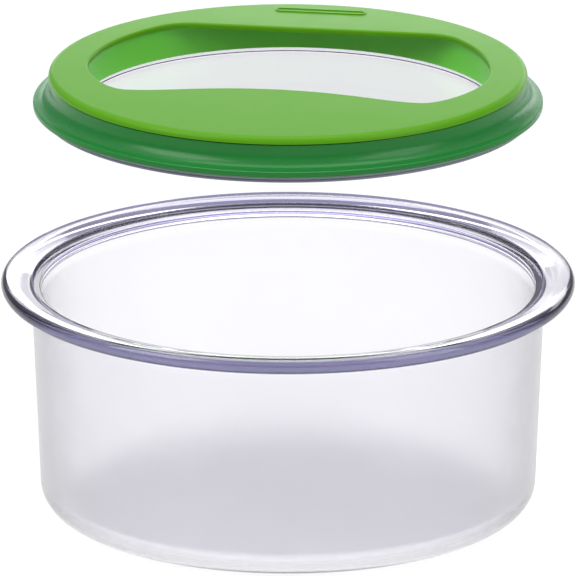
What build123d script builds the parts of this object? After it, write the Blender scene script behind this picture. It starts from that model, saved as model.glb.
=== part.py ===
"""Round food container with a lift-off lid and a flip-up handle ring.

Millimetres, +Z up.  The origin is the centre of the tub's foot, and the tub stands on z = 0.  The lid is
drawn lifted clear above the tub, at lid_z, and slides straight down until its flange rests in the rim.
The thumb tab is at -Y, and the ring's hinge at +Y.
"""
from build123d import *
import math
import os

os.makedirs("parts", exist_ok=True)

# ---- tub ------------------------------------------------------------------------------------------
tub_height = 85.0            # foot to the top of the rim
rim_radius = 102.0           # outside of the rolled rim
rim_width = 10.8             # how far the rim stands out from the wall
rim_web = 2.4                # thickness of the shelf between the wall and the roll
bead_radius = 2.6            # roll at the rim's edge
neck_fillet = 2.4            # under the rim, where the wall turns outwards
wall_thickness = 3.2         # at the mouth
wall_thinning = 0.4          # how much thinner the wall is at the bottom
wall_draft = 3.0             # how much the wall leans in from the rim to the bottom corner
floor_thickness = 2.2
corner_radius = 9.5          # outside of the bottom corner
corner_turn = 88             # degrees that the corner turns before it runs into the leaning wall
foot_recess = 0.9            # how far the underside is lifted inside the foot
foot_width = 3.0
seat_depth = 3.4             # top of the rim down to the ledge that carries the lid
seat_width = 2.5             # width of that ledge
seat_lean = 0.3              # draft of the short wall around the ledge
ledge_break = 0.4            # chamfer on the ledge's inner edge
mouth_width = 5.0            # sloping lead-in outside the ledge
mouth_drop = 1.4             # how far the lead-in falls
mouth_roll = 1.4             # rounding between the rim's top and the lead-in
mouth_roll_width = 1.2
mouth_roll_drop = 0.7
gate_radius = 1.7            # moulding mark under the floor
gate_height = 0.4
gate_taper = 20              # degrees

# ---- lid: heights are measured up from the underside of the flange ----------------------------------
flange_thickness = 2.2
flange_reach = 5.9           # how far the flange stands out from the body
flange_round = 0.6
body_height = 10.2
body_wall = 1.8
body_round = 0.4             # rounded top corners of the body
flare_land = 0.4             # flat between the flange's rounding and the hollow curve up to the body
deck_width = 10.2            # from the body's outside to the round well
well_bottom = -0.7
spigot_step = 0.1            # the spigot stands this far inside the body's wall
spigot_wall = 1.8            # ring that the seal is stretched over
spigot_bottom = -2.2
window_thickness = 1.8
window_flange = 1.2          # thickness of the window's edge, welded under the spigot
window_slope = 1.2           # how fast that edge thins out from the plate
window_edge_break = 0.3
window_step_inset = 13.1     # faint step moulded into the window
window_step = 0.35
seal_height = 2.8
seal_top_land = 1.6          # flat top of the seal stops this far from the lip
lip_thickness = 1.0          # thickness of each lip
lip_start = 0.3              # the upper lip starts this far down
lip_back = 0.5               # how far each lip's rounded end reaches in
seal_valley = 1.0            # how far the groove between the lips cuts in
valley_depth = 1.5           # the groove's two edges
valley_end = 1.7
lower_lip_inset = 0.9        # the lower lip is this much smaller than the upper one
seal_toe = 1.2               # rounded foot of the seal
toe_break = 0.5

# ---- handle ring ------------------------------------------------------------------------------------
ring_height = 2.8            # body's top to the ring's top
ring_overhang = 0.4          # the ring stands out this far over the body
ring_plate = 1.8
ring_edge_radius = 2.2       # rounded outer edge
ring_skirt = 1.9             # thickness of the short skirt over the body
well_overhang = 2.7          # the ring's round sides cover this much of the well
back_bar_width = 32.4        # from the straight back edge of the opening to the ring's outside
opening_corner = 16.0        # corners at the ends of that edge
opening_round = 0.8          # rounding of the opening's upper edge
lobe_inset = 19.4            # each front lobe's lowest point, in from the round side
lobe_y = -33.7
tab_y = -25.2                # top of the wave, at the centre
side_pull = 12.0             # how stiffly the outline leaves the side, and comes into and out of a lobe
lobe_pull = 9.0
wave_pull = 14.0
tab_pull = 26.0              # and how flat the wave's top is
badge_length = 33.0          # plain raised outline on the back bar
badge_width = 4.4
badge_line = 0.7
badge_height = 0.35
badge_inset = 10.7           # its middle, in from the ring's outside

# ---- hinge at the back, catch at the front ----------------------------------------------------------
hinge_lift = 2.3             # free height under the barrel, above the flange
barrel_radius = 2.0
hinge_pin_radius = 1.0
tongue_width = 19.4
tongue_round = 0.3
ear_width = 3.4
pin_length = 2.6             # how far each moulded pin enters its ear
catch_width = 14.0
catch_thickness = 1.6
catch_length = 5.0           # below the ring's plate
catch_bead = 0.5             # how far the bead stands out
catch_root = 0.5             # how far the catch is buried in the plate
bead_rise = 0.8              # steps up the bead: its lower slope, its flat, its upper slope
bead_flat = 0.5

# ---- fits and travel --------------------------------------------------------------------------------
gap = 0.3                    # between bodies that move past each other
pin_gap = 0.05               # radial, hinge pin in its bore
slot_gap = 0.7               # around the catch, which swings a little
lid_raise = 66.0             # from seated up to where the lid is drawn

# ---- sizes that follow ------------------------------------------------------------------------------
wall_top_radius = rim_radius - rim_width
wall_foot_radius = wall_top_radius - wall_draft
mouth_radius = wall_top_radius - wall_thickness
seat_radius = mouth_radius + seat_width
ledge_z = tub_height - seat_depth
seated_z = ledge_z + gap
lid_z = seated_z + lid_raise
flange_radius = seat_radius - gap
body_radius = flange_radius - flange_reach
well_radius = body_radius - deck_width
spigot_radius = body_radius - body_wall - spigot_step
flare_radius = flange_reach - flange_round - flare_land
seal_radius = mouth_radius - gap
ring_radius = body_radius + ring_overhang
ring_top = body_height + ring_height
ring_bottom = body_height + gap
plate_bottom = ring_top - ring_plate
opening_radius = well_radius - well_overhang
hinge_y = body_radius + barrel_radius + 2 * gap
hinge_z = flange_thickness + hinge_lift + barrel_radius
lid_section = Plane(origin=(0, 0, lid_z), x_dir=(1, 0, 0), z_dir=(0, -1, 0))
side_section = Plane(origin=(0, 0, lid_z), x_dir=(0, 1, 0), z_dir=(1, 0, 0))


def save(piece, label):
    """Name a finished piece and write it."""
    piece.part.label = label
    export_step(piece.part, f"parts/{label}.step")


# ---- tub: one clear moulding, turned about its own axis ----------------------------------------------
bead_centre = (rim_radius - bead_radius, tub_height - bead_radius)
rim_under = ledge_z - rim_web
foot_radius = wall_foot_radius - corner_radius
wall_at_foot = wall_thickness - wall_thinning
inner_foot_radius = wall_foot_radius - wall_at_foot
inner_corner = corner_radius - wall_at_foot
floor_z = foot_recess + floor_thickness

with BuildPart() as tub:
    with BuildSketch(Plane.XZ):
        with BuildLine():
            under = Line((0, foot_recess), (foot_radius - foot_width - foot_recess, foot_recess))
            foot_slope = Line(under @ 1, (foot_radius - foot_width, 0))
            foot = Line(foot_slope @ 1, (foot_radius, 0))
            corner = JernArc(foot @ 1, (1, 0), corner_radius, corner_turn)
            wall = Line(corner @ 1, (wall_top_radius, rim_under - neck_fillet))
            neck = RadiusArc(wall @ 1, (wall_top_radius + neck_fillet, rim_under), neck_fillet)
            shelf = Line(neck @ 1, (bead_centre[0], tub_height - 2 * bead_radius))
            bead = ThreePointArc(shelf @ 1, (rim_radius, bead_centre[1]), (bead_centre[0], tub_height))
            lip_inside = seat_radius + mouth_width
            lip = Line(bead @ 1, (lip_inside + mouth_roll_width, tub_height))
            roll = RadiusArc(lip @ 1, (lip_inside, tub_height - mouth_roll_drop), -mouth_roll)
            lead_in = Line(roll @ 1, (seat_radius + seat_lean, tub_height - mouth_drop))
            seat_wall = Line(lead_in @ 1, (seat_radius, ledge_z))
            ledge = Line(seat_wall @ 1, (mouth_radius + ledge_break, ledge_z))
            ledge_edge = Line(ledge @ 1, (mouth_radius, ledge_z - ledge_break))
            inside = Line(ledge_edge @ 1, (inner_foot_radius, floor_z + inner_corner))
            inner_arc = RadiusArc(inside @ 1, (inner_foot_radius - inner_corner, floor_z), inner_corner)
            floor = Line(inner_arc @ 1, (0, floor_z))
            Line(floor @ 1, under @ 0)
        make_face()
    revolve(axis=Axis.Z)
    with BuildSketch(Plane.XY.offset(foot_recess)):
        Circle(gate_radius)
    extrude(amount=-gate_height, taper=gate_taper)
save(tub, "tub")

# ---- lid body: flange, outer wall, top deck, round well and the ring that holds the seal --------------
ear_x = tongue_width / 2 + gap
ear_foot = flange_thickness / 2
ear_inside = math.sqrt(body_radius ** 2 - (ear_x + ear_width) ** 2) - body_wall / 2
catch_y = -(body_radius - body_wall - slot_gap - catch_bead)
slot_depth = catch_thickness + catch_bead + 2 * slot_gap
slot_y = catch_y - catch_bead - slot_gap + slot_depth / 2

with BuildPart() as lid_frame:
    with BuildSketch(lid_section) as body_profile:
        with BuildLine():
            flange = Polyline(
                (spigot_radius - spigot_wall, spigot_bottom),
                (spigot_radius, spigot_bottom),
                (spigot_radius, 0),
                (flange_radius, 0),
                (flange_radius, flange_thickness),
                (body_radius + flare_radius, flange_thickness),
            )
            flare = RadiusArc(flange @ 1, (body_radius, flange_thickness + flare_radius), flare_radius)
            Polyline(
                flare @ 1,
                (body_radius, body_height),
                (well_radius, body_height),
                (well_radius, well_bottom),
                (well_radius + body_wall, well_bottom),
                (well_radius + body_wall, body_height - body_wall),
                (body_radius - body_wall, body_height - body_wall),
                (body_radius - body_wall, flange_thickness),
                (spigot_radius - spigot_wall, flange_thickness),
                flange @ 0,
            )
        make_face()
        fillet(body_profile.vertices().group_by(Axis.X)[-1], radius=flange_round)
        fillet(body_profile.vertices().group_by(Axis.Y)[-1], radius=body_round)
    revolve(axis=Axis.Z)
    # hinge ears: an upright cheek on the flange each side of the ring's tongue, bored for its pins
    for side_sign in (1, -1):
        with BuildSketch(side_section.offset(side_sign * ear_x)):
            with Locations((hinge_y, hinge_z)):
                Circle(barrel_radius)
            with BuildLine():
                Polyline(
                    (ear_inside, ear_foot),
                    (hinge_y + barrel_radius, ear_foot),
                    (hinge_y + barrel_radius, hinge_z),
                    (hinge_y, hinge_z + barrel_radius),
                    (ear_inside, hinge_z + barrel_radius),
                    (ear_inside, ear_foot),
                )
            make_face()
        extrude(amount=side_sign * ear_width)
        with BuildSketch(side_section.offset(side_sign * ear_x)):
            with Locations((hinge_y, hinge_z)):
                Circle(hinge_pin_radius + pin_gap)
        extrude(amount=side_sign * (pin_length + gap), mode=Mode.SUBTRACT)
    # slot in the deck that the ring's catch drops through
    with BuildSketch(Plane.XY.offset(lid_z + body_height)):
        with Locations((0, slot_y)):
            Rectangle(catch_width + 2 * slot_gap, slot_depth)
    extrude(amount=-body_wall, mode=Mode.SUBTRACT)
save(lid_frame, "lid_frame")

# ---- window: clear plate with a collar up to the well and an edge out to the spigot -------------------
window_top = spigot_bottom
collar_radius = well_radius + body_wall
window_step_radius = well_radius - window_step_inset
edge_under = window_top - window_flange
with BuildPart() as window:
    with BuildSketch(lid_section):
        with BuildLine():
            Polyline(
                (0, window_top - window_thickness),
                (collar_radius, window_top - window_thickness),
                (collar_radius + window_slope, edge_under),
                (spigot_radius - window_edge_break, edge_under),
                (spigot_radius, edge_under + window_edge_break),
                (spigot_radius, window_top),
                (collar_radius, window_top),
                (collar_radius, well_bottom),
                (well_radius, well_bottom),
                (well_radius, window_top),
                (window_step_radius + window_step, window_top),
                (window_step_radius, window_top + window_step),
                (0, window_top + window_step),
                (0, window_top - window_thickness),
            )
        make_face()
    revolve(axis=Axis.Z)
save(window, "window")

# ---- gasket: soft ring with two lips, stretched over the spigot ---------------------------------------
lower_lip = seal_radius - lower_lip_inset
upper_mid = lip_start + lip_thickness / 2
lower_mid = valley_end + lip_thickness / 2
with BuildPart() as gasket:
    with BuildSketch(lid_section):
        with BuildLine():
            back = Polyline(
                (spigot_radius + seal_toe, -seal_height),
                (spigot_radius, -seal_height + toe_break),
                (spigot_radius, 0),
                (seal_radius - seal_top_land, 0),
                (seal_radius - lip_back, -lip_start),
            )
            upper = ThreePointArc(
                back @ 1, (seal_radius, -upper_mid), (seal_radius - lip_back, -lip_start - lip_thickness)
            )
            valley = Polyline(
                upper @ 1,
                (seal_radius - lip_back - seal_valley, -valley_depth),
                (lower_lip - lip_back, -valley_end),
            )
            lower = ThreePointArc(
                valley @ 1, (lower_lip, -lower_mid), (lower_lip - lip_back, -valley_end - lip_thickness)
            )
            Line(lower @ 1, back @ 0)
        make_face()
    revolve(axis=Axis.Z)
save(gasket, "gasket")

# ---- handle ring: opaque plate with a straight-backed opening and a wave-shaped thumb tab -------------
opening_back = ring_radius - back_bar_width
corner_y = opening_back - opening_corner
corner_reach = opening_radius - opening_corner
corner_x = math.sqrt(corner_reach ** 2 - corner_y ** 2)
meet = opening_radius / corner_reach
lobe_x = opening_radius - lobe_inset
edge_z = ring_top - ring_edge_radius
skirt_inside = ring_radius - ring_skirt
bead_low = plate_bottom - catch_length + bead_rise
pin_reach = tongue_width + 2 * gap + 2 * pin_length

with BuildPart() as handle_ring:
    with BuildSketch(lid_section):
        with BuildLine():
            top = Line((0, ring_top), (ring_radius - ring_edge_radius, ring_top))
            shoulder = RadiusArc(top @ 1, (ring_radius, edge_z), ring_edge_radius)
            Polyline(
                shoulder @ 1,
                (ring_radius, ring_bottom),
                (skirt_inside, ring_bottom),
                (skirt_inside - (plate_bottom - ring_bottom), plate_bottom),
                (0, plate_bottom),
                (0, ring_top),
            )
        make_face()
    revolve(axis=Axis.Z)
    with BuildSketch(Plane.XY.offset(lid_z + ring_top)):
        with BuildLine():
            back_edge = Line((0, opening_back), (corner_x, opening_back))
            back_corner = RadiusArc(back_edge @ 1, (corner_x * meet, corner_y * meet), opening_corner)
            side = RadiusArc(back_corner @ 1, (opening_radius, 0), opening_radius)
            turn_in = Bezier(side @ 1, (opening_radius, -side_pull), (lobe_x + lobe_pull, lobe_y), (lobe_x, lobe_y))
            Bezier(turn_in @ 1, (lobe_x - wave_pull, lobe_y), (tab_pull, tab_y), (0, tab_y))
            mirror(about=Plane.YZ)
        make_face()
    extrude(amount=-ring_plate, mode=Mode.SUBTRACT)
    top_face = handle_ring.faces().sort_by(Axis.Z)[-1]
    fillet(top_face.inner_wires()[0].edges(), radius=opening_round)
    # hinge tongue: from the ring's back edge out and down to the barrel
    with BuildSketch(side_section.offset(-tongue_width / 2)):
        with BuildLine():
            Polyline(
                (skirt_inside, ring_bottom + pin_gap),
                (hinge_y - barrel_radius, ring_bottom + pin_gap),
                (hinge_y - barrel_radius, hinge_z),
                (hinge_y + barrel_radius, hinge_z),
                (hinge_y + barrel_radius - tongue_round, hinge_z + barrel_radius),
                (ring_radius + tongue_round, edge_z + barrel_radius / 2),
                (skirt_inside, edge_z + barrel_radius / 2),
                (skirt_inside, ring_bottom + pin_gap),
            )
        make_face()
        with Locations((hinge_y, hinge_z)):
            Circle(barrel_radius)
    extrude(amount=tongue_width)
    with BuildSketch(side_section.offset(-pin_reach / 2)):
        with Locations((hinge_y, hinge_z)):
            Circle(hinge_pin_radius)
    extrude(amount=pin_reach)
    # catch under the front of the ring
    with BuildSketch(side_section.offset(-catch_width / 2)):
        with BuildLine():
            Polyline(
                (catch_y, plate_bottom + catch_root),
                (catch_y + catch_thickness, plate_bottom + catch_root),
                (catch_y + catch_thickness, plate_bottom - catch_length),
                (catch_y + catch_bead, plate_bottom - catch_length),
                (catch_y - catch_bead, bead_low),
                (catch_y - catch_bead, bead_low + bead_flat),
                (catch_y, bead_low + 2 * bead_flat),
                (catch_y, plate_bottom + catch_root),
            )
        make_face()
    extrude(amount=catch_width)
    # plain raised outline on the back bar
    with BuildSketch(Plane.XY.offset(lid_z + ring_top)):
        with Locations((0, ring_radius - badge_inset)):
            SlotOverall(badge_length, badge_width)
            SlotOverall(badge_length - 2 * badge_line, badge_width - 2 * badge_line, mode=Mode.SUBTRACT)
    extrude(amount=badge_height)
save(handle_ring, "handle_ring")

print(f"lid drawn at z {lid_z:.2f}, seated at z {seated_z:.2f}")
print(f"hinge axis at y {hinge_y:.2f}, z {lid_z + hinge_z:.2f}")
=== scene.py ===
# %% [markdown]
# # A clear food tub and its snap lid
#
# The real object is five plain mouldings: a clear tub, a tinted lid body, a clear window, a soft grey
# seal and an opaque handle ring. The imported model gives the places, the sizes and the moving bodies.
# The shapes are made again here with finer curves, because clear plastic shows every facet, and each one
# stands in for its plain CAD solid.

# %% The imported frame
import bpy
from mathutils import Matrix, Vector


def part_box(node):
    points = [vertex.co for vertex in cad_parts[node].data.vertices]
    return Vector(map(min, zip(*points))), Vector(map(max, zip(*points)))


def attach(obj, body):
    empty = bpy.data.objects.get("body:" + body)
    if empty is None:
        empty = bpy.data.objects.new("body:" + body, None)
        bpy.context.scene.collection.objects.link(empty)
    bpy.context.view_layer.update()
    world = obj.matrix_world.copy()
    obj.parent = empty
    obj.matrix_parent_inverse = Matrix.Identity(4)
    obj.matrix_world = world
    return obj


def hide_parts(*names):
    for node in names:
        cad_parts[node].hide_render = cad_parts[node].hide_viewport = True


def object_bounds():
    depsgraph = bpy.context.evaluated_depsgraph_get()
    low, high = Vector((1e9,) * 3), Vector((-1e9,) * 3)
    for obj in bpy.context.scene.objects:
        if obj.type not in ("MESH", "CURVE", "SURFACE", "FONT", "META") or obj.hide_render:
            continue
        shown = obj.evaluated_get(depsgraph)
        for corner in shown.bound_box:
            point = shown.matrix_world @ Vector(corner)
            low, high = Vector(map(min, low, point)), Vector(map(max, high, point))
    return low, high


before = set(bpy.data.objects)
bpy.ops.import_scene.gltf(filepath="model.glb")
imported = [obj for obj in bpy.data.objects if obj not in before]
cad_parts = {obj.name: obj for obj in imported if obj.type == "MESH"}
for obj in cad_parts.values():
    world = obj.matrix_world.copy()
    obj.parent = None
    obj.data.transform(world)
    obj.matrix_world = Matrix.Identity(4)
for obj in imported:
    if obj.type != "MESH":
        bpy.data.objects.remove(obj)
cad_low, cad_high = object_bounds()

# %% Tools and units
import math

import bmesh
import bpy
from mathutils import Vector

MM = 0.001
scene = bpy.context.scene
tub_low, tub_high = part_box("tub")
lid_low, lid_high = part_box("lid_frame")
print("whole object", [round(v, 4) for v in cad_high - cad_low])

# %% [markdown]
# ## Turning a moulding
#
# Every piece but the handle ring is round, so each is turned like a pot. Its section is drawn as a few
# corners, the corners are rounded off, and the section is spun once around the upright axis. Rounding
# the section before the spin takes a handful of points, where rounding the finished solid would touch
# thousands of edges.

# %% Turn a section into a solid
TURN_STEPS = 240
MERGE = 1e-6


def add_turned(bm, corners, height):
    """Spin a section about the z axis. Each corner is (radius, height, rounding, steps), in millimetres."""
    section = bmesh.new()
    points = [section.verts.new((radius * MM, 0, z * MM + height)) for radius, z, _, _ in corners]
    closed = corners[0][0] > 0 or corners[-1][0] > 0
    count = len(points)
    for index in range(count if closed else count - 1):
        section.edges.new((points[index], points[(index + 1) % count]))
    for point, (_, _, rounding, steps) in zip(points, corners):
        if rounding > 0:
            bmesh.ops.bevel(section, geom=[point], offset=rounding * MM, offset_type="OFFSET",
                            segments=steps, profile=0.5, affect="VERTICES", material=-1)
    bmesh.ops.spin(section, geom=section.verts[:] + section.edges[:], cent=(0, 0, 0), axis=(0, 0, 1),
                   angle=2 * math.pi, steps=TURN_STEPS, use_merge=True, use_duplicate=False)
    bmesh.ops.remove_doubles(section, verts=section.verts, dist=MERGE)
    bmesh.ops.recalc_face_normals(section, faces=section.faces)
    turned = bpy.data.meshes.new("turned")
    section.to_mesh(turned)
    section.free()
    bm.from_mesh(turned)
    bpy.data.meshes.remove(turned)


def finish_piece(bm, name, body, node, material, sharp_degrees=40):
    """Make the object, smooth it, hang it on the body it rides on and hide the CAD node it stands for."""
    if bm.calc_volume(signed=True) < 0:
        bmesh.ops.reverse_faces(bm, faces=bm.faces)
    mesh = bpy.data.meshes.new(name)
    bm.to_mesh(mesh)
    bm.free()
    for face in mesh.polygons:
        face.use_smooth = True
    mesh.set_sharp_from_angle(angle=math.radians(sharp_degrees))
    piece = bpy.data.objects.new(name, mesh)
    scene.collection.objects.link(piece)
    even = piece.modifiers.new("even shading", "WEIGHTED_NORMAL")
    even.keep_sharp = True
    mesh.materials.append(material)
    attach(piece, body)
    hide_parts(node)
    print(name, len(mesh.polygons), "faces")


# %% [markdown]
# ## Surface effects that the plastics share
#
# No moulded surface is perfect. It waves a little where the plastic shrank, which bends reflections, and
# handling leaves a fine haze that changes the gloss from place to place. Both effects are one node group,
# built once and placed in each material with its own strength.

# %% The moulded skin group
def new_group(name, inputs, outputs):
    """An empty shader group with named number sockets. Returns it, its input node and its output node."""
    group = bpy.data.node_groups.new(name, "ShaderNodeTree")
    for label, value in inputs.items():
        socket = group.interface.new_socket(name=label, in_out="INPUT", socket_type="NodeSocketFloat")
        socket.default_value = value
    for label in outputs:
        group.interface.new_socket(name=label, in_out="OUTPUT", socket_type="NodeSocketFloat")
    return group, group.nodes.new("NodeGroupInput"), group.nodes.new("NodeGroupOutput")


def add_math(group, operation, first, second):
    """A maths node on two sockets. Returns its result."""
    node = group.nodes.new("ShaderNodeMath")
    node.operation = operation
    group.links.new(first, node.inputs[0])
    group.links.new(second, node.inputs[1])
    return node.outputs["Value"]


def add_noise(group, place, scale, detail, roughness):
    """Noise over the piece. The scale is how many lumps lie along a metre."""
    noise = group.nodes.new("ShaderNodeTexNoise")
    for label, value in (("Scale", scale), ("Detail", detail), ("Roughness", roughness)):
        noise.inputs[label].default_value = value
    group.links.new(place.outputs["Object"], noise.inputs["Vector"])
    return noise.outputs["Fac"]


def make_moulded_skin():
    """Waves, fine grain and handling haze, all from object coordinates."""
    strengths = {"Gloss": 0.2, "Haze": 0.1, "Wave": 0.5, "Grain": 0.5}
    group, inputs, outputs = new_group("moulded skin", strengths, ("Roughness", "Height"))
    place = group.nodes.new("ShaderNodeTexCoord")
    wave = add_noise(group, place, 28.0, 1.0, 0.5)
    grain = add_noise(group, place, 1800.0, 2.0, 0.5)
    haze = add_noise(group, place, 60.0, 6.0, 0.65)
    smear = add_math(group, "MULTIPLY", haze, inputs.outputs["Haze"])
    rough = add_math(group, "ADD", inputs.outputs["Gloss"], smear)
    group.links.new(rough, outputs.inputs["Roughness"])
    slow = add_math(group, "MULTIPLY", wave, inputs.outputs["Wave"])
    fine = add_math(group, "MULTIPLY", grain, inputs.outputs["Grain"])
    group.links.new(add_math(group, "ADD", slow, fine), outputs.inputs["Height"])
    return group


moulded_skin = make_moulded_skin()
print("group", moulded_skin.name)


# %% Start a plastic
def start_plastic(name, gloss, haze, grain, depth_mm, wave=1.0):
    """A material with the moulded skin wired to its roughness and bump. Returns it and its shader."""
    material = bpy.data.materials.new(name)
    material.use_nodes = True
    nodes, links = material.node_tree.nodes, material.node_tree.links
    shader = nodes["Principled BSDF"]
    skin = nodes.new("ShaderNodeGroup")
    skin.node_tree = moulded_skin
    for key, value in (("Gloss", gloss), ("Haze", haze), ("Wave", wave), ("Grain", grain)):
        skin.inputs[key].default_value = value
    bump = nodes.new("ShaderNodeBump")
    bump.inputs["Strength"].default_value = 1.0
    bump.inputs["Distance"].default_value = depth_mm * MM
    links.new(skin.outputs["Height"], bump.inputs["Height"])
    links.new(bump.outputs["Normal"], shader.inputs["Normal"])
    links.new(skin.outputs["Roughness"], shader.inputs["Roughness"])
    return material, shader


# %% [markdown]
# ## Rings of painted light and shade
#
# Painted light and shade change a plastic's colour around a turned piece: the tub's roll is painted darker
# than its wall as a dark reflection, and the lid's well is painted lighter, as if lit through. Separate
# materials would meet in a hard line, and painting would need an unwrapped surface.
# Instead a mask comes from the distance to the upright axis and the height, and it fades at its edges. Two
# plastics use it, so it is a group as well.

# %% The ring mask group
FAR = 1000.0


def make_ring_mask():
    """1 between two radii and two heights, fading out over the softness. All sockets are in metres."""
    edges = {"Inner": 0.0, "Outer": 0.1, "Low": 0.0, "High": 0.1, "Softness": 0.001}
    group, inputs, outputs = new_group("ring mask", edges, ("Mask",))
    place = group.nodes.new("ShaderNodeTexCoord")
    flat = group.nodes.new("ShaderNodeVectorMath")
    flat.operation = "MULTIPLY"
    flat.inputs[1].default_value = (1.0, 1.0, 0.0)
    group.links.new(place.outputs["Object"], flat.inputs[0])
    reach = group.nodes.new("ShaderNodeVectorMath")
    reach.operation = "LENGTH"
    group.links.new(flat.outputs["Vector"], reach.inputs[0])
    split = group.nodes.new("ShaderNodeSeparateXYZ")
    group.links.new(place.outputs["Object"], split.inputs["Vector"])
    radius, height = reach.outputs["Value"], split.outputs["Z"]
    mask = None
    for value, edge, side in ((radius, "Inner", "SUBTRACT"), (radius, "Outer", "ADD"),
                              (height, "Low", "SUBTRACT"), (height, "High", "ADD")):
        start = add_math(group, side, inputs.outputs[edge], inputs.outputs["Softness"])
        fade = group.nodes.new("ShaderNodeMapRange")
        fade.interpolation_type = "SMOOTHSTEP"
        group.links.new(value, fade.inputs["Value"])
        group.links.new(start, fade.inputs["From Min"])
        group.links.new(inputs.outputs[edge], fade.inputs["From Max"])
        step = fade.outputs["Result"]
        mask = add_math(group, "MULTIPLY", mask, step) if mask else step
    group.links.new(mask, outputs.inputs["Mask"])
    return group


ring_mask = make_ring_mask()
print("group", ring_mask.name)


# %% Place a band and mix with it
MIX_SOCKETS = {"FLOAT": (2, 3, 0), "RGBA": (6, 7, 2)}  # A, B and Result repeat their names for each kind


def add_band(material, inner, outer, soft, low=-FAR, high=FAR):
    """Place the ring mask in a material, with its edges in millimetres. Returns the mask."""
    band = material.node_tree.nodes.new("ShaderNodeGroup")
    band.node_tree = ring_mask
    edges = {"Inner": inner, "Outer": outer, "Low": low, "High": high, "Softness": soft}
    for label, value in edges.items():
        band.inputs[label].default_value = value * MM
    return band.outputs["Mask"]


def mix_by(material, mask, kind, below, above):
    """Mix two colours, numbers or sockets. Where the mask is 1, above shows."""
    nodes, links = material.node_tree.nodes, material.node_tree.links
    mix = nodes.new("ShaderNodeMix")
    mix.data_type = kind
    links.new(mask, mix.inputs["Factor"])
    first, second, result = MIX_SOCKETS[kind]
    for index, value in ((first, below), (second, above)):
        if isinstance(value, bpy.types.NodeSocket):
            links.new(value, mix.inputs[index])
        else:
            mix.inputs[index].default_value = (*value, 1.0) if kind == "RGBA" else value
    return mix.outputs[result]


# %% [markdown]
# ## Clear plastic
#
# Clear plastic lets light through, and its colour grows with the depth that the light crosses. A surface
# colour alone would tint thin and thick places alike. So the tint is an absorbing volume inside the shape,
# and the surface colour stays near white.

# %% Make a clear plastic
PLASTIC_IOR = 1.49
CLEAR_GRAIN = 0.1
CLEAR_RELIEF = 0.02


def make_clear(name, colour, gloss, haze, tint, density):
    """A plastic that transmits, with a tint for each metre of depth."""
    material, shader = start_plastic(name, gloss, haze, CLEAR_GRAIN, CLEAR_RELIEF)
    shader.inputs["Base Color"].default_value = (*colour, 1.0)
    shader.inputs["Transmission Weight"].default_value = 1.0
    shader.inputs["IOR"].default_value = PLASTIC_IOR
    nodes, links = material.node_tree.nodes, material.node_tree.links
    depth = nodes.new("ShaderNodeVolumeAbsorption")
    depth.inputs["Color"].default_value = (*tint, 1.0)
    depth.inputs["Density"].default_value = density
    links.new(depth.outputs["Volume"], nodes["Material Output"].inputs["Volume"])
    return material, shader


# %% [markdown]
# ## The tub's finish
#
# The plastic is nearly colourless. Where light runs a long way inside it, as in the rolled rim, it turns
# violet grey. On top of that the roll carries a painted dark reflection in dark violet grey, and the short
# wall above the ledge carries painted shade in grey. The rim is polished, and the wall below it is very
# slightly frosted from the mould.

# %% Tub sizes
TUB_TOP = tub_high.z / MM
TUB_HEIGHT = (tub_high.z - tub_low.z) / MM
RIM_RADIUS = tub_high.x / MM
WALL_TOP = RIM_RADIUS - 10.8
WALL_FOOT = WALL_TOP - 3.0
MOUTH = WALL_TOP - 3.2
SEAT = MOUTH + 2.5
LEDGE = TUB_HEIGHT - 3.4
print("tub height", round(TUB_HEIGHT, 1), "mouth", round(MOUTH, 1))

# %% Tub plastic
TUB_COLOUR = (0.975, 0.97, 0.99)
# The dark violet grey on the roll is a painted dark reflection, and the grey on the seat wall is painted
# shade.
ROLL_PAINTED_REFLECTION = (0.075, 0.07, 0.18)
SEAT_PAINTED_SHADE = (0.55, 0.52, 0.58)
DEPTH_VIOLET = (0.10, 0.05, 0.40)
OUTSIDE = RIM_RADIUS + 8.0
ABOVE = TUB_TOP + 5.0
clear_tub, tub_shader = make_clear("clear tub plastic", TUB_COLOUR, 0.17, 0.10, DEPTH_VIOLET, 8.5)
# Masks for the painted dark reflection on the roll and the painted shade on the seat wall.
roll_painted_reflection = add_band(clear_tub, RIM_RADIUS - 1.0, OUTSIDE, 1.0, TUB_TOP - 8.0, ABOVE)
seat_painted_shade = add_band(clear_tub, SEAT - 0.2, SEAT + 0.5, 0.15, TUB_TOP - 4.0, ABOVE)
colour = mix_by(clear_tub, roll_painted_reflection, "RGBA", TUB_COLOUR, ROLL_PAINTED_REFLECTION)
colour = mix_by(clear_tub, seat_painted_shade, "RGBA", colour, SEAT_PAINTED_SHADE)
clear_tub.node_tree.links.new(colour, tub_shader.inputs["Base Color"])
print(clear_tub.name, "with the roll and the seat tinted")

# %% Rim polish
POLISHED = 0.05
rim = add_band(clear_tub, 0.0, OUTSIDE, 1.0, TUB_TOP - 9.0, ABOVE)
frosted = tub_shader.inputs["Roughness"].links[0].from_socket
gloss = mix_by(clear_tub, rim, "FLOAT", frosted, POLISHED)
clear_tub.node_tree.links.new(gloss, tub_shader.inputs["Roughness"])
print("rim polished to", POLISHED)

# %% [markdown]
# ## Window and body finishes
#
# The window is clear and faintly blue. The body is a translucent emerald: its outer wall looks deep
# because light goes through it and the hollow behind. The thin well wall is painted a lighter, yellower
# green, painted light that stands for the light shining through it. One material holds both colours,
# mixed by the distance from the lid's axis.

# %% Lid sizes
FLANGE = lid_high.x / MM
FLANGE_THICKNESS = 2.2
BODY = FLANGE - 5.9
WELL = BODY - 10.2
WELL_FOOT = -0.7
SPIGOT = BODY - 1.9
SPIGOT_DROP = 2.2
DECK = 10.2
WALL = 1.8
lid_z = lid_low.z + SPIGOT_DROP * MM
print("flange", round(FLANGE, 1), "body", round(BODY, 1), "well", round(WELL, 1))

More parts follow.
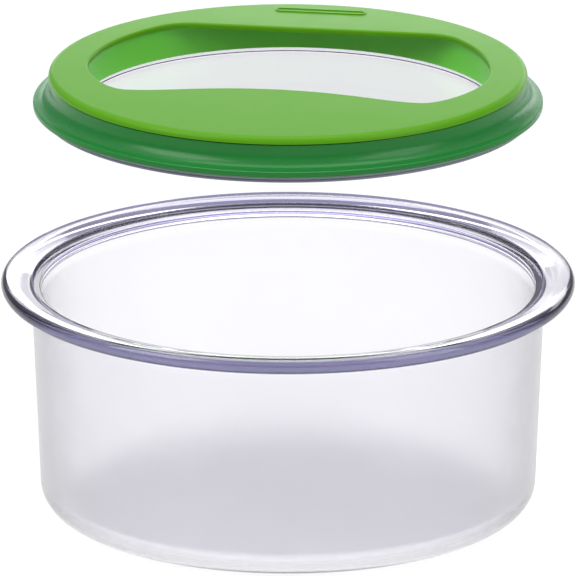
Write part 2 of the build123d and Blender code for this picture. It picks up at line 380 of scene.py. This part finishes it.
# %% Window and body plastic
WINDOW_BLUE = (0.30, 0.50, 0.90)
OUTER_GREEN = (0.015, 0.26, 0.040)
# The lighter, yellower green is painted light: the glow of light shining through the thin well wall.
WELL_PAINTED_LIGHT_GREEN = (0.22, 0.88, 0.08)
DEPTH_GREEN = (0.08, 0.6, 0.12)
STRAIGHT_VIEW_IOR = 1.2  # below the real plastic's, so that the view through the window stays straight
clear_window, window_shader = make_clear("clear window plastic", (0.97, 0.965, 1.0), 0.05, 0.05,
                                         WINDOW_BLUE, 1.0)
window_shader.inputs["IOR"].default_value = STRAIGHT_VIEW_IOR
green_body, green_shader = make_clear("tinted body plastic", OUTER_GREEN, 0.20, 0.10, DEPTH_GREEN, 20.0)
green_shader.inputs["Transmission Weight"].default_value = 0.45
green_shader.inputs["Specular IOR Level"].default_value = 0.08
# Painted light: the well wall and the deck's inner edge get the lighter green.
well_painted_light = add_band(green_body, 0.0, WELL + 2.4, 3.0)
body_colour_and_painted_light = mix_by(green_body, well_painted_light, "RGBA", OUTER_GREEN, WELL_PAINTED_LIGHT_GREEN)
green_body.node_tree.links.new(body_colour_and_painted_light, green_shader.inputs["Base Color"])
print(clear_window.name, "and", green_body.name)

# %% [markdown]
# ## Ring and seal finishes
#
# The ring is opaque lime with a satin gloss. The seal is soft grey, duller, with a fine grain.

# %% Opaque lime and soft grey
lime_ring, lime_shader = start_plastic("lime ring plastic", 0.26, 0.12, 0.15, 0.02)
lime_shader.inputs["Base Color"].default_value = (0.076, 0.262, 0.004, 1.0)
lime_shader.inputs["Specular IOR Level"].default_value = 0.12
grey_seal, grey_shader = start_plastic("grey seal", 0.42, 0.15, 0.4, 0.03)
grey_shader.inputs["Base Color"].default_value = (0.19, 0.20, 0.24, 1.0)
print(lime_ring.name, "and", grey_seal.name)

# %% [markdown]
# ## The tub
#
# The tub is one clear moulding: a rolled rim, a sloping mouth, a ledge that carries the lid, a wall that
# leans in a little and a foot ring. It could be a subdivided cylinder, but a turned section keeps the small
# steps of the rim crisp, and those are what clear plastic shows. All its sizes come from the CAD tub's box.

# %% Tub section
tub_corners = [
    (0, 0.5, 0, 0),
    (1.5, 0.5, 0.2, 2),
    (1.7, 0.9, 0.1, 1),
    (WALL_FOOT - 13.4, 0.9, 0.6, 2),
    (WALL_FOOT - 12.5, 0, 0.4, 2),
    (WALL_FOOT - 0.25, 0, 9.1, 14),
    (WALL_TOP, LEDGE - 2.4, 2.4, 6),
    (RIM_RADIUS, TUB_HEIGHT - 5.2, 2.59, 8),
    (RIM_RADIUS, TUB_HEIGHT, 2.59, 8),
    (SEAT + 5.7, TUB_HEIGHT, 0.9, 4),
    (SEAT + 0.3, TUB_HEIGHT - 1.4, 0.3, 3),
    (SEAT, LEDGE, 0.2, 2),
    (MOUTH, LEDGE, 0.4, 3),
    (WALL_FOOT - 2.8, 3.1, 6.6, 10),
    (0, 3.1, 0, 0),
]
print("tub section", len(tub_corners), "corners")

# %% Tub
bm = bmesh.new()
add_turned(bm, tub_corners, tub_low.z)
finish_piece(bm, "tub_shell", "container", "tub", clear_tub)

# %% [markdown]
# ## The lid body
#
# The body is a tinted ring: a flange that rests on the tub's ledge, a wall that sweeps up from it in one
# hollow curve, a deck, a round well, and a short spigot below for the seal. It is turned as well. Two things
# aren't round: the slot that the catch drops through, and the hinge ears. The slot is cut through the deck
# with a Boolean and a block, and the ears are flat outlines pushed out to their thickness.

# %% Lid body section
body_corners = [
    (SPIGOT - WALL, -SPIGOT_DROP, 0, 0),
    (SPIGOT, -SPIGOT_DROP, 0, 0),
    (SPIGOT, 0, 0, 0),
    (FLANGE, 0, 0.6, 3),
    (FLANGE, FLANGE_THICKNESS, 0.6, 3),
    (BODY, FLANGE_THICKNESS, 4.9, 12),
    (BODY, DECK, 0.4, 3),
    (WELL, DECK, 0.4, 3),
    (WELL, WELL_FOOT, 0, 0),
    (WELL + WALL, WELL_FOOT, 0, 0),
    (WELL + WALL, DECK - WALL, 0, 0),
    (BODY - WALL, DECK - WALL, 0, 0),
    (BODY - WALL, FLANGE_THICKNESS, 0, 0),
    (SPIGOT - WALL, FLANGE_THICKNESS, 0, 0),
]
print("body section", len(body_corners), "corners")


# %% Flat outlines pushed out along x
def add_slab(bm, outline, x, width, rounding=0.0):
    """A slab whose outline lies across x. The outline is (y, height above the flange) in millimetres."""
    verts = [bm.verts.new((x * MM, y * MM, lid_z + z * MM)) for y, z in outline]
    face = bm.faces.new(verts)
    made = bmesh.ops.extrude_face_region(bm, geom=[face])["geom"]
    moved = [g for g in made if isinstance(g, bmesh.types.BMVert)]
    bmesh.ops.translate(bm, verts=moved, vec=(width * MM, 0, 0))
    if rounding:
        ends = {e for v in verts + moved for e in v.link_edges}
        bmesh.ops.bevel(bm, geom=list(ends), offset=rounding * MM, offset_type="OFFSET", segments=2,
                        profile=0.5, affect="EDGES", material=-1)
    bmesh.ops.recalc_face_normals(bm, faces=bm.faces)


def arc(centre, radius, start, end, steps):
    """Outline points on an arc, angles in degrees."""
    angles = [math.radians(start + (end - start) * i / steps) for i in range(steps + 1)]
    return [(centre[0] + radius * math.cos(a), centre[1] + radius * math.sin(a)) for a in angles]


def cut_away(bm, cutter_bm, name):
    """Take the cutter out of the shape with an exact Boolean, and hand back what is left."""
    blocks = []
    for part, label in ((bm, name + "_stock"), (cutter_bm, name)):
        mesh = bpy.data.meshes.new(label)
        part.to_mesh(mesh)
        part.free()
        block = bpy.data.objects.new(label, mesh)
        scene.collection.objects.link(block)
        blocks.append(block)
    cut = blocks[0].modifiers.new(name, "BOOLEAN")
    cut.object = blocks[1]
    cut.operation = "DIFFERENCE"
    cut.solver = "EXACT"
    bpy.context.view_layer.update()
    depsgraph = bpy.context.evaluated_depsgraph_get()
    solid = bpy.data.meshes.new_from_object(blocks[0].evaluated_get(depsgraph))
    left = bmesh.new()
    left.from_mesh(solid)
    bpy.data.meshes.remove(solid)
    for block in blocks:
        mesh = block.data
        bpy.data.objects.remove(block)
        bpy.data.meshes.remove(mesh)
    print(name, "cut, now", len(left.faces), "faces")
    return left


# %% Lid body, with the catch's slot
CATCH_THICKNESS = 1.6
CATCH_WIDTH = 14.0
CATCH_BEAD = 0.5
SLOT_GAP = 0.7
CATCH_Y = -(BODY - WALL - SLOT_GAP - CATCH_BEAD)
SLOT_WIDTH = CATCH_WIDTH + 2 * SLOT_GAP
slot_back = CATCH_Y - CATCH_BEAD - SLOT_GAP
slot_front = slot_back + CATCH_THICKNESS + CATCH_BEAD + 2 * SLOT_GAP
slot_foot = DECK - 3.0
slot_top = DECK + 1.0
slot_outline = [(slot_back, slot_foot), (slot_front, slot_foot)]
slot_outline += [(slot_front, slot_top), (slot_back, slot_top)]
bm = bmesh.new()
add_turned(bm, body_corners, lid_z)
slot_bm = bmesh.new()
add_slab(slot_bm, slot_outline, -SLOT_WIDTH / 2, SLOT_WIDTH)
bm = cut_away(bm, slot_bm, "catch_slot")
finish_piece(bm, "lid_body", "lid", "lid_frame", green_body, 30)

# %% Hinge ears
BARREL = 2.0
HINGE_GAP = 0.3
HINGE_LIFT = 2.3
HINGE = (BODY + BARREL + 2 * HINGE_GAP, FLANGE_THICKNESS + HINGE_LIFT + BARREL)
EAR_X = 10.0
EAR_WIDTH = 3.4
EAR_FOOT = 1.1
PIN = 1.0
PIN_GAP = 0.05
BORE_SHIFT = 0.5
pin_turn = (0, 345, 23)
ear_inside = math.sqrt(BODY ** 2 - (EAR_X + EAR_WIDTH) ** 2) - WALL / 2
ear_outline = [(ear_inside, EAR_FOOT), (HINGE[0] + BARREL, EAR_FOOT)]
ear_outline += arc(HINGE, BARREL, 0, 90, 8)
ear_outline += [(ear_inside, HINGE[1] + BARREL)]
for side, start, inwards in (("right", EAR_X, -BORE_SHIFT), ("left", -EAR_X - EAR_WIDTH, BORE_SHIFT)):
    bm = bmesh.new()
    add_slab(bm, ear_outline, start, EAR_WIDTH, 0.25)
    bore = bmesh.new()
    add_slab(bore, arc(HINGE, PIN + PIN_GAP, *pin_turn), start + inwards, EAR_WIDTH)
    bm = cut_away(bm, bore, "pin_bore")
    finish_piece(bm, "hinge_ear_" + side, "lid", "lid_frame", green_body)

# %% [markdown]
# ## The window
#
# A clear plate closes the well from below. Its edge runs out under the spigot, where it is welded, a
# collar stands inside the well's foot, and a faint step rings the plate. One turned section holds all of it.

# %% Window
WINDOW_BOTTOM = -4.0
EDGE_BOTTOM = -3.4
STEP_TOP = 0.35 - SPIGOT_DROP
window_corners = [
    (0, WINDOW_BOTTOM, 0, 0),
    (WELL + WALL, WINDOW_BOTTOM, 0.4, 2),
    (WELL + 3.0, EDGE_BOTTOM, 0.3, 2),
    (SPIGOT, EDGE_BOTTOM, 0.3, 2),
    (SPIGOT, -SPIGOT_DROP, 0, 0),
    (WELL + WALL, -SPIGOT_DROP, 0, 0),
    (WELL + WALL, WELL_FOOT, 0, 0),
    (WELL, WELL_FOOT, 0, 0),
    (WELL, -SPIGOT_DROP, 0.3, 3),
    (WELL - 12.75, -SPIGOT_DROP, 0.2, 2),
    (WELL - 13.1, STEP_TOP, 0.2, 2),
    (0, STEP_TOP, 0, 0),
]
bm = bmesh.new()
add_turned(bm, window_corners, lid_z)
finish_piece(bm, "window_plate", "lid", "window", clear_window)

# %% [markdown]
# ## The seal
#
# A soft grey ring is stretched over the spigot, with two rounded lips that press on the tub's mouth. It
# could be two tori, but as one section the valley between the lips stays sharp.

# %% Seal
SEAL = MOUTH - 0.3
seal_corners = [
    (SPIGOT + 1.2, -2.8, 0.2, 2),
    (SPIGOT, -2.3, 0.2, 2),
    (SPIGOT, 0, 0, 0),
    (SEAL - 1.6, 0, 0.2, 2),
    (SEAL, -0.3, 0.49, 5),
    (SEAL, -1.3, 0.49, 5),
    (SEAL - 1.5, -1.5, 0.1, 2),
    (SEAL - 0.9, -1.7, 0.45, 4),
    (SEAL - 0.9, -2.7, 0.45, 4),
]
bm = bmesh.new()
add_turned(bm, seal_corners, lid_z)
finish_piece(bm, "seal_ring", "lid", "gasket", grey_seal)

# %% [markdown]
# ## The handle ring
#
# The ring is an opaque plate with a rounded outer edge. Its opening has a straight back, round sides and a
# wave at the front whose crest is the thumb tab. The opening's outline is drawn first, as a line, two arcs
# and two curves; loops are then pulled outwards from it, down over the edge, and bridged underneath. That
# keeps long even faces round the edge, where a Boolean would leave slivers.

# %% The opening's outline
RING = BODY + 0.4
RING_TOP = DECK + 2.8
RING_BOTTOM = DECK + 0.3
PLATE_BOTTOM = RING_TOP - 1.8
OPENING = WELL - 2.7
OPENING_BACK = RING - 32.4
CORNER = 16.0
LOBE = Vector((OPENING - 19.4, -33.7))
TAB = Vector((0, -25.2))
SIDE_PULL, LOBE_PULL, WAVE_PULL, TAB_PULL = 12.0, 9.0, 14.0, 26.0
CURVE_STEPS = 400
corner_y = OPENING_BACK - CORNER
corner_x = math.sqrt((OPENING - CORNER) ** 2 - corner_y ** 2)
corner_turn = math.atan2(corner_y, corner_x)


def bezier(a, b, c, d, t):
    """A point on a cubic curve from a to d, pulled towards b and c."""
    return a * (1 - t) ** 3 + b * 3 * t * (1 - t) ** 2 + c * 3 * t * t * (1 - t) + d * t ** 3


def opening_half(steps):
    """Points along the right half of the opening, from the back's middle round to the tab's."""
    line = []
    for i in range(steps):
        line.append(Vector((corner_x * i / steps, OPENING_BACK)))
    for i in range(steps):
        a = math.pi / 2 + (corner_turn - math.pi / 2) * i / steps
        line.append(Vector((corner_x + CORNER * math.cos(a), corner_y + CORNER * math.sin(a))))
    for i in range(steps):
        a = corner_turn * (1 - i / steps)
        line.append(Vector((OPENING * math.cos(a), OPENING * math.sin(a))))
    side = Vector((OPENING, 0))
    side_end, lobe_start = side - Vector((0, SIDE_PULL)), LOBE + Vector((LOBE_PULL, 0))
    for i in range(steps):
        line.append(bezier(side, side_end, lobe_start, LOBE, i / steps))
    lobe_end, tab_start = LOBE - Vector((WAVE_PULL, 0)), TAB + Vector((TAB_PULL, 0))
    for i in range(steps + 1):
        line.append(bezier(LOBE, lobe_end, tab_start, TAB, i / steps))
    return line


# %% Even points round the outline
RING_STEPS = 240
half = opening_half(CURVE_STEPS)
lengths = [0.0]
for a, b in zip(half, half[1:]):
    lengths.append(lengths[-1] + (b - a).length)
print("outline", round(2 * lengths[-1], 1), "mm round")


def opening_point(share):
    """A point on the whole outline, share 0 to 1 clockwise from the back's middle."""
    mirrored = share > 0.5
    want = (1 - share if mirrored else share) * 2 * lengths[-1]
    for index, length in enumerate(lengths):
        if length >= want:
            break
    point = half[index]
    return Vector((-point.x if mirrored else point.x, point.y))


# %% Ring plate
def pull_to_circle(bm, edges, radius, z):
    """Extrude the open loop of edges and lay the new loop on a circle."""
    made = bmesh.ops.extrude_edge_only(bm, edges=edges)["geom"]
    for vert in (g for g in made if isinstance(g, bmesh.types.BMVert)):
        out = Vector((vert.co.x, vert.co.y)).normalized() * radius * MM
        vert.co = (out.x, out.y, lid_z + z * MM)
    return [g for g in made if isinstance(g, bmesh.types.BMEdge)]


EDGE = 2.2
EDGE_STEPS = 8
SKIRT = 1.9
ring_top_z = lid_z + RING_TOP * MM
bm = bmesh.new()
outline = [opening_point(i / RING_STEPS) * MM for i in range(RING_STEPS)]
loop = [bm.verts.new((*point, ring_top_z)) for point in outline]
start_edges = [bm.edges.new((loop[i], loop[(i + 1) % RING_STEPS])) for i in range(RING_STEPS)]
edges = pull_to_circle(bm, start_edges, RING - EDGE, RING_TOP)
for step in range(1, EDGE_STEPS + 1):
    a = math.pi / 2 * step / EDGE_STEPS
    radius, z = RING - EDGE + EDGE * math.sin(a), RING_TOP - EDGE + EDGE * math.cos(a)
    edges = pull_to_circle(bm, edges, radius, z)
for radius, z in ((RING, RING_BOTTOM), (RING - SKIRT, RING_BOTTOM), (RING - SKIRT - 0.7, PLATE_BOTTOM)):
    edges = pull_to_circle(bm, edges, radius, z)
made = bmesh.ops.extrude_edge_only(bm, edges=start_edges)["geom"]
low_edges = [g for g in made if isinstance(g, bmesh.types.BMEdge)]
for vert in {v for e in low_edges for v in e.verts}:
    vert.co.z = lid_z + PLATE_BOTTOM * MM
bmesh.ops.bridge_loops(bm, edges=edges + low_edges)
bmesh.ops.recalc_face_normals(bm, faces=bm.faces)
OPENING_ROUND = 0.8
bmesh.ops.bevel(bm, geom=start_edges, offset=OPENING_ROUND * MM, offset_type="OFFSET", segments=5,
                profile=0.5, affect="EDGES", material=-1)
finish_piece(bm, "handle_plate", "ring", "handle_ring", lime_ring)

# %% [markdown]
# ## Hinge, catch and a raised outline
#
# Behind the ring a tongue reaches down to a barrel between the two ears, on short moulded pins. In front
# a thin catch with a small bead drops through the slot. The back bar carries a plain raised outline, a
# long rounded loop, where such a ring has its only decoration. Each is a pushed-out outline.

# %% Tongue and pins
TONGUE = 19.4
PIN_LENGTH = 3.4
PIN_ROOT = 0.5
tongue_top = RING_TOP - EDGE + 1.0
tongue_foot = RING_BOTTOM + 0.05
tongue_outline = [(RING - SKIRT, tongue_foot), (HINGE[0] - BARREL, tongue_foot)]
tongue_outline += arc(HINGE, BARREL, 180, 360, 14)
tongue_outline += [(HINGE[0] + BARREL - 0.3, HINGE[1] + BARREL), (RING + 0.3, tongue_top)]
tongue_outline += [(RING - SKIRT, tongue_top)]
bm = bmesh.new()
add_slab(bm, tongue_outline, -TONGUE / 2, TONGUE, 0.2)
finish_piece(bm, "hinge_tongue", "ring", "handle_ring", lime_ring)
right_start = TONGUE / 2 - PIN_ROOT
for side, start in (("right", right_start), ("left", -right_start - PIN_LENGTH)):
    bm = bmesh.new()
    add_slab(bm, arc(HINGE, PIN, *pin_turn), start, PIN_LENGTH, 0.15)
    finish_piece(bm, "hinge_pin_" + side, "ring", "handle_ring", lime_ring)

# %% Catch
CATCH_FOOT = PLATE_BOTTOM - 5.0
catch_root = PLATE_BOTTOM + 0.5
catch_inside, bead_tip = CATCH_Y + CATCH_THICKNESS, CATCH_Y - CATCH_BEAD
catch_outline = [
    (CATCH_Y, catch_root), (catch_inside, catch_root), (catch_inside, CATCH_FOOT),
    (CATCH_Y + 0.5, CATCH_FOOT), (bead_tip, CATCH_FOOT + 0.8), (bead_tip, CATCH_FOOT + 1.3),
    (CATCH_Y, CATCH_FOOT + 1.8),
]
bm = bmesh.new()
add_slab(bm, catch_outline, -CATCH_WIDTH / 2, CATCH_WIDTH, 0.15)
finish_piece(bm, "front_catch", "ring", "handle_ring", lime_ring)

# %% Raised outline
BADGE_Y = RING - 10.7
BADGE_LENGTH = 33.0
BADGE_WIDTH = 4.4
BADGE_LINE = 0.7
BADGE_SINK = 0.05
BADGE_HEIGHT = 0.35
badge_turn = BADGE_WIDTH / 2
badge_half = (BADGE_LENGTH - BADGE_WIDTH) / 2
badge_path = [(badge_half + x, y) for x, y in arc((0, 0), badge_turn, -90, 90, 12)]
badge_path += [(x - badge_half, y) for x, y in arc((0, 0), badge_turn, 90, 270, 12)]
bm = bmesh.new()
badge_z = lid_z + (RING_TOP - BADGE_SINK) * MM
loop = [bm.verts.new((x * MM, (BADGE_Y + y) * MM, badge_z)) for x, y in badge_path]
face = bm.faces.new(loop)
bm.normal_update()
bmesh.ops.inset_region(bm, faces=[face], thickness=BADGE_LINE * MM, use_even_offset=True, use_boundary=True)
bmesh.ops.delete(bm, geom=[face], context="FACES_ONLY")
made = bmesh.ops.extrude_face_region(bm, geom=bm.faces[:])["geom"]
raised = [g for g in made if isinstance(g, bmesh.types.BMVert)]
bmesh.ops.translate(bm, verts=raised, vec=(0, 0, (BADGE_SINK + BADGE_HEIGHT) * MM))
bmesh.ops.recalc_face_normals(bm, faces=bm.faces)
finish_piece(bm, "raised_outline", "ring", "handle_ring", lime_ring)

# %% [markdown]
# ## The floor
#
# The object stands on a wide round floor that looks an even white. A plain white floor would need strong
# lamps, and their
# falloff would show through the clear tub. So the floor is dark, has no gloss and gives off an even light
# of its own, and what light it still returns is enough for a faint shadow.

# %% Floor
FLOOR_RADIUS = 12.0
FLOOR_GLOW = 0.94
bm = bmesh.new()
bmesh.ops.create_circle(bm, cap_ends=True, segments=64, radius=FLOOR_RADIUS)
floor_mesh = bpy.data.meshes.new("floor")
bm.to_mesh(floor_mesh)
bm.free()
floor = bpy.data.objects.new("floor", floor_mesh)
floor.location.z = cad_low.z
scene.collection.objects.link(floor)
floor_material = bpy.data.materials.new("pale floor")
floor_material.use_nodes = True
floor_shader = floor_material.node_tree.nodes["Principled BSDF"]
floor_shader.inputs["Base Color"].default_value = (0.08, 0.08, 0.08, 1)
floor_shader.inputs["Roughness"].default_value = 1.0
floor_shader.inputs["Specular IOR Level"].default_value = 0.0
floor_shader.inputs["Emission Color"].default_value = (1, 1, 1, 1)
floor_shader.inputs["Emission Strength"].default_value = FLOOR_GLOW
floor_mesh.materials.append(floor_material)
print("floor at", round(floor.location.z, 4))

# %% [markdown]
# ## World and lights
#
# Clear plastic is seen by what it mirrors and bends. An even white world would make the tub vanish, so the
# world is grey violet below and white above, which draws the edges of the rim and the wall. Three large
# soft lamps shape the ring, and a narrow one close behind the lid draws the highlight on its back bar.

# %% World
HORIZON = (0.36, 0.35, 0.44, 1)
ZENITH = (1.0, 1.0, 1.02, 1)
world = bpy.data.worlds.new("studio")
scene.world = world
world.use_nodes = True
sky_nodes, sky_links = world.node_tree.nodes, world.node_tree.links
sky = sky_nodes["Background"]
sky_place = sky_nodes.new("ShaderNodeTexCoord")
sky_split = sky_nodes.new("ShaderNodeSeparateXYZ")
sky_ramp = sky_nodes.new("ShaderNodeValToRGB")
sky_links.new(sky_place.outputs["Generated"], sky_split.inputs["Vector"])
sky_links.new(sky_split.outputs["Z"], sky_ramp.inputs["Fac"])
for stop, position, shade in zip(sky_ramp.color_ramp.elements, (0.30, 0.75), (HORIZON, ZENITH)):
    stop.position = position
    stop.color = shade
sky_links.new(sky_ramp.outputs["Color"], sky.inputs["Color"])
sky.inputs["Strength"].default_value = 0.9
print("world", world.name)


# %% Lamps
def softbox(name, where, aim, width, height, power):
    """A rectangular lamp that faces a point. Metres and watts."""
    light = bpy.data.lights.new(name, "AREA")
    light.shape = "RECTANGLE"
    light.size = width
    light.size_y = height
    light.energy = power
    lamp = bpy.data.objects.new(name, light)
    lamp.location = where
    lamp.rotation_mode = "QUATERNION"
    lamp.rotation_quaternion = (Vector(where) - Vector(aim)).to_track_quat("Z", "Y")
    scene.collection.objects.link(lamp)
    print(name, power, "W")


middle = (cad_low + cad_high) / 2
softbox("key", (-1.2, -0.9, 1.5), middle, 1.2, 1.2, 22)
softbox("fill", (1.4, -0.6, 1.0), middle, 1.0, 1.4, 12)
softbox("top", (0, 0.3, 2.0), middle, 1.6, 1.2, 16)
softbox("back", (0.03, 0.27, 0.20), middle, 0.5, 0.05, 0.20)

# %% [markdown]
# ## The camera
#
# A long lens from four metres away keeps the tub's sides upright and its ellipses even, where a near camera
# would swell the rim. It looks down a little, so that the window and the inside of the tub both show.

# %% Camera
AZIMUTH = math.radians(9.2)
ELEVATION = math.radians(17.5)
DISTANCE = 4.0
VIEW_WIDTH = 0.204764
AIM_DROP = 0.0009
level = math.cos(ELEVATION)
to_camera = Vector((math.sin(AZIMUTH) * level, -math.cos(AZIMUTH) * level, math.sin(ELEVATION)))
camera_data = bpy.data.cameras.new("camera")
camera_data.sensor_width = 36
camera_data.lens = camera_data.sensor_width * DISTANCE / VIEW_WIDTH
camera_data.clip_end = 50
camera = bpy.data.objects.new("camera", camera_data)
camera.location = Vector((0, 0, middle.z - AIM_DROP)) + to_camera * DISTANCE
camera.rotation_mode = "QUATERNION"
camera.rotation_quaternion = to_camera.to_track_quat("Z", "Y")
scene.collection.objects.link(camera)
scene.camera = camera
scene.view_settings.view_transform = "Standard"
print("lens", round(camera_data.lens), "mm")
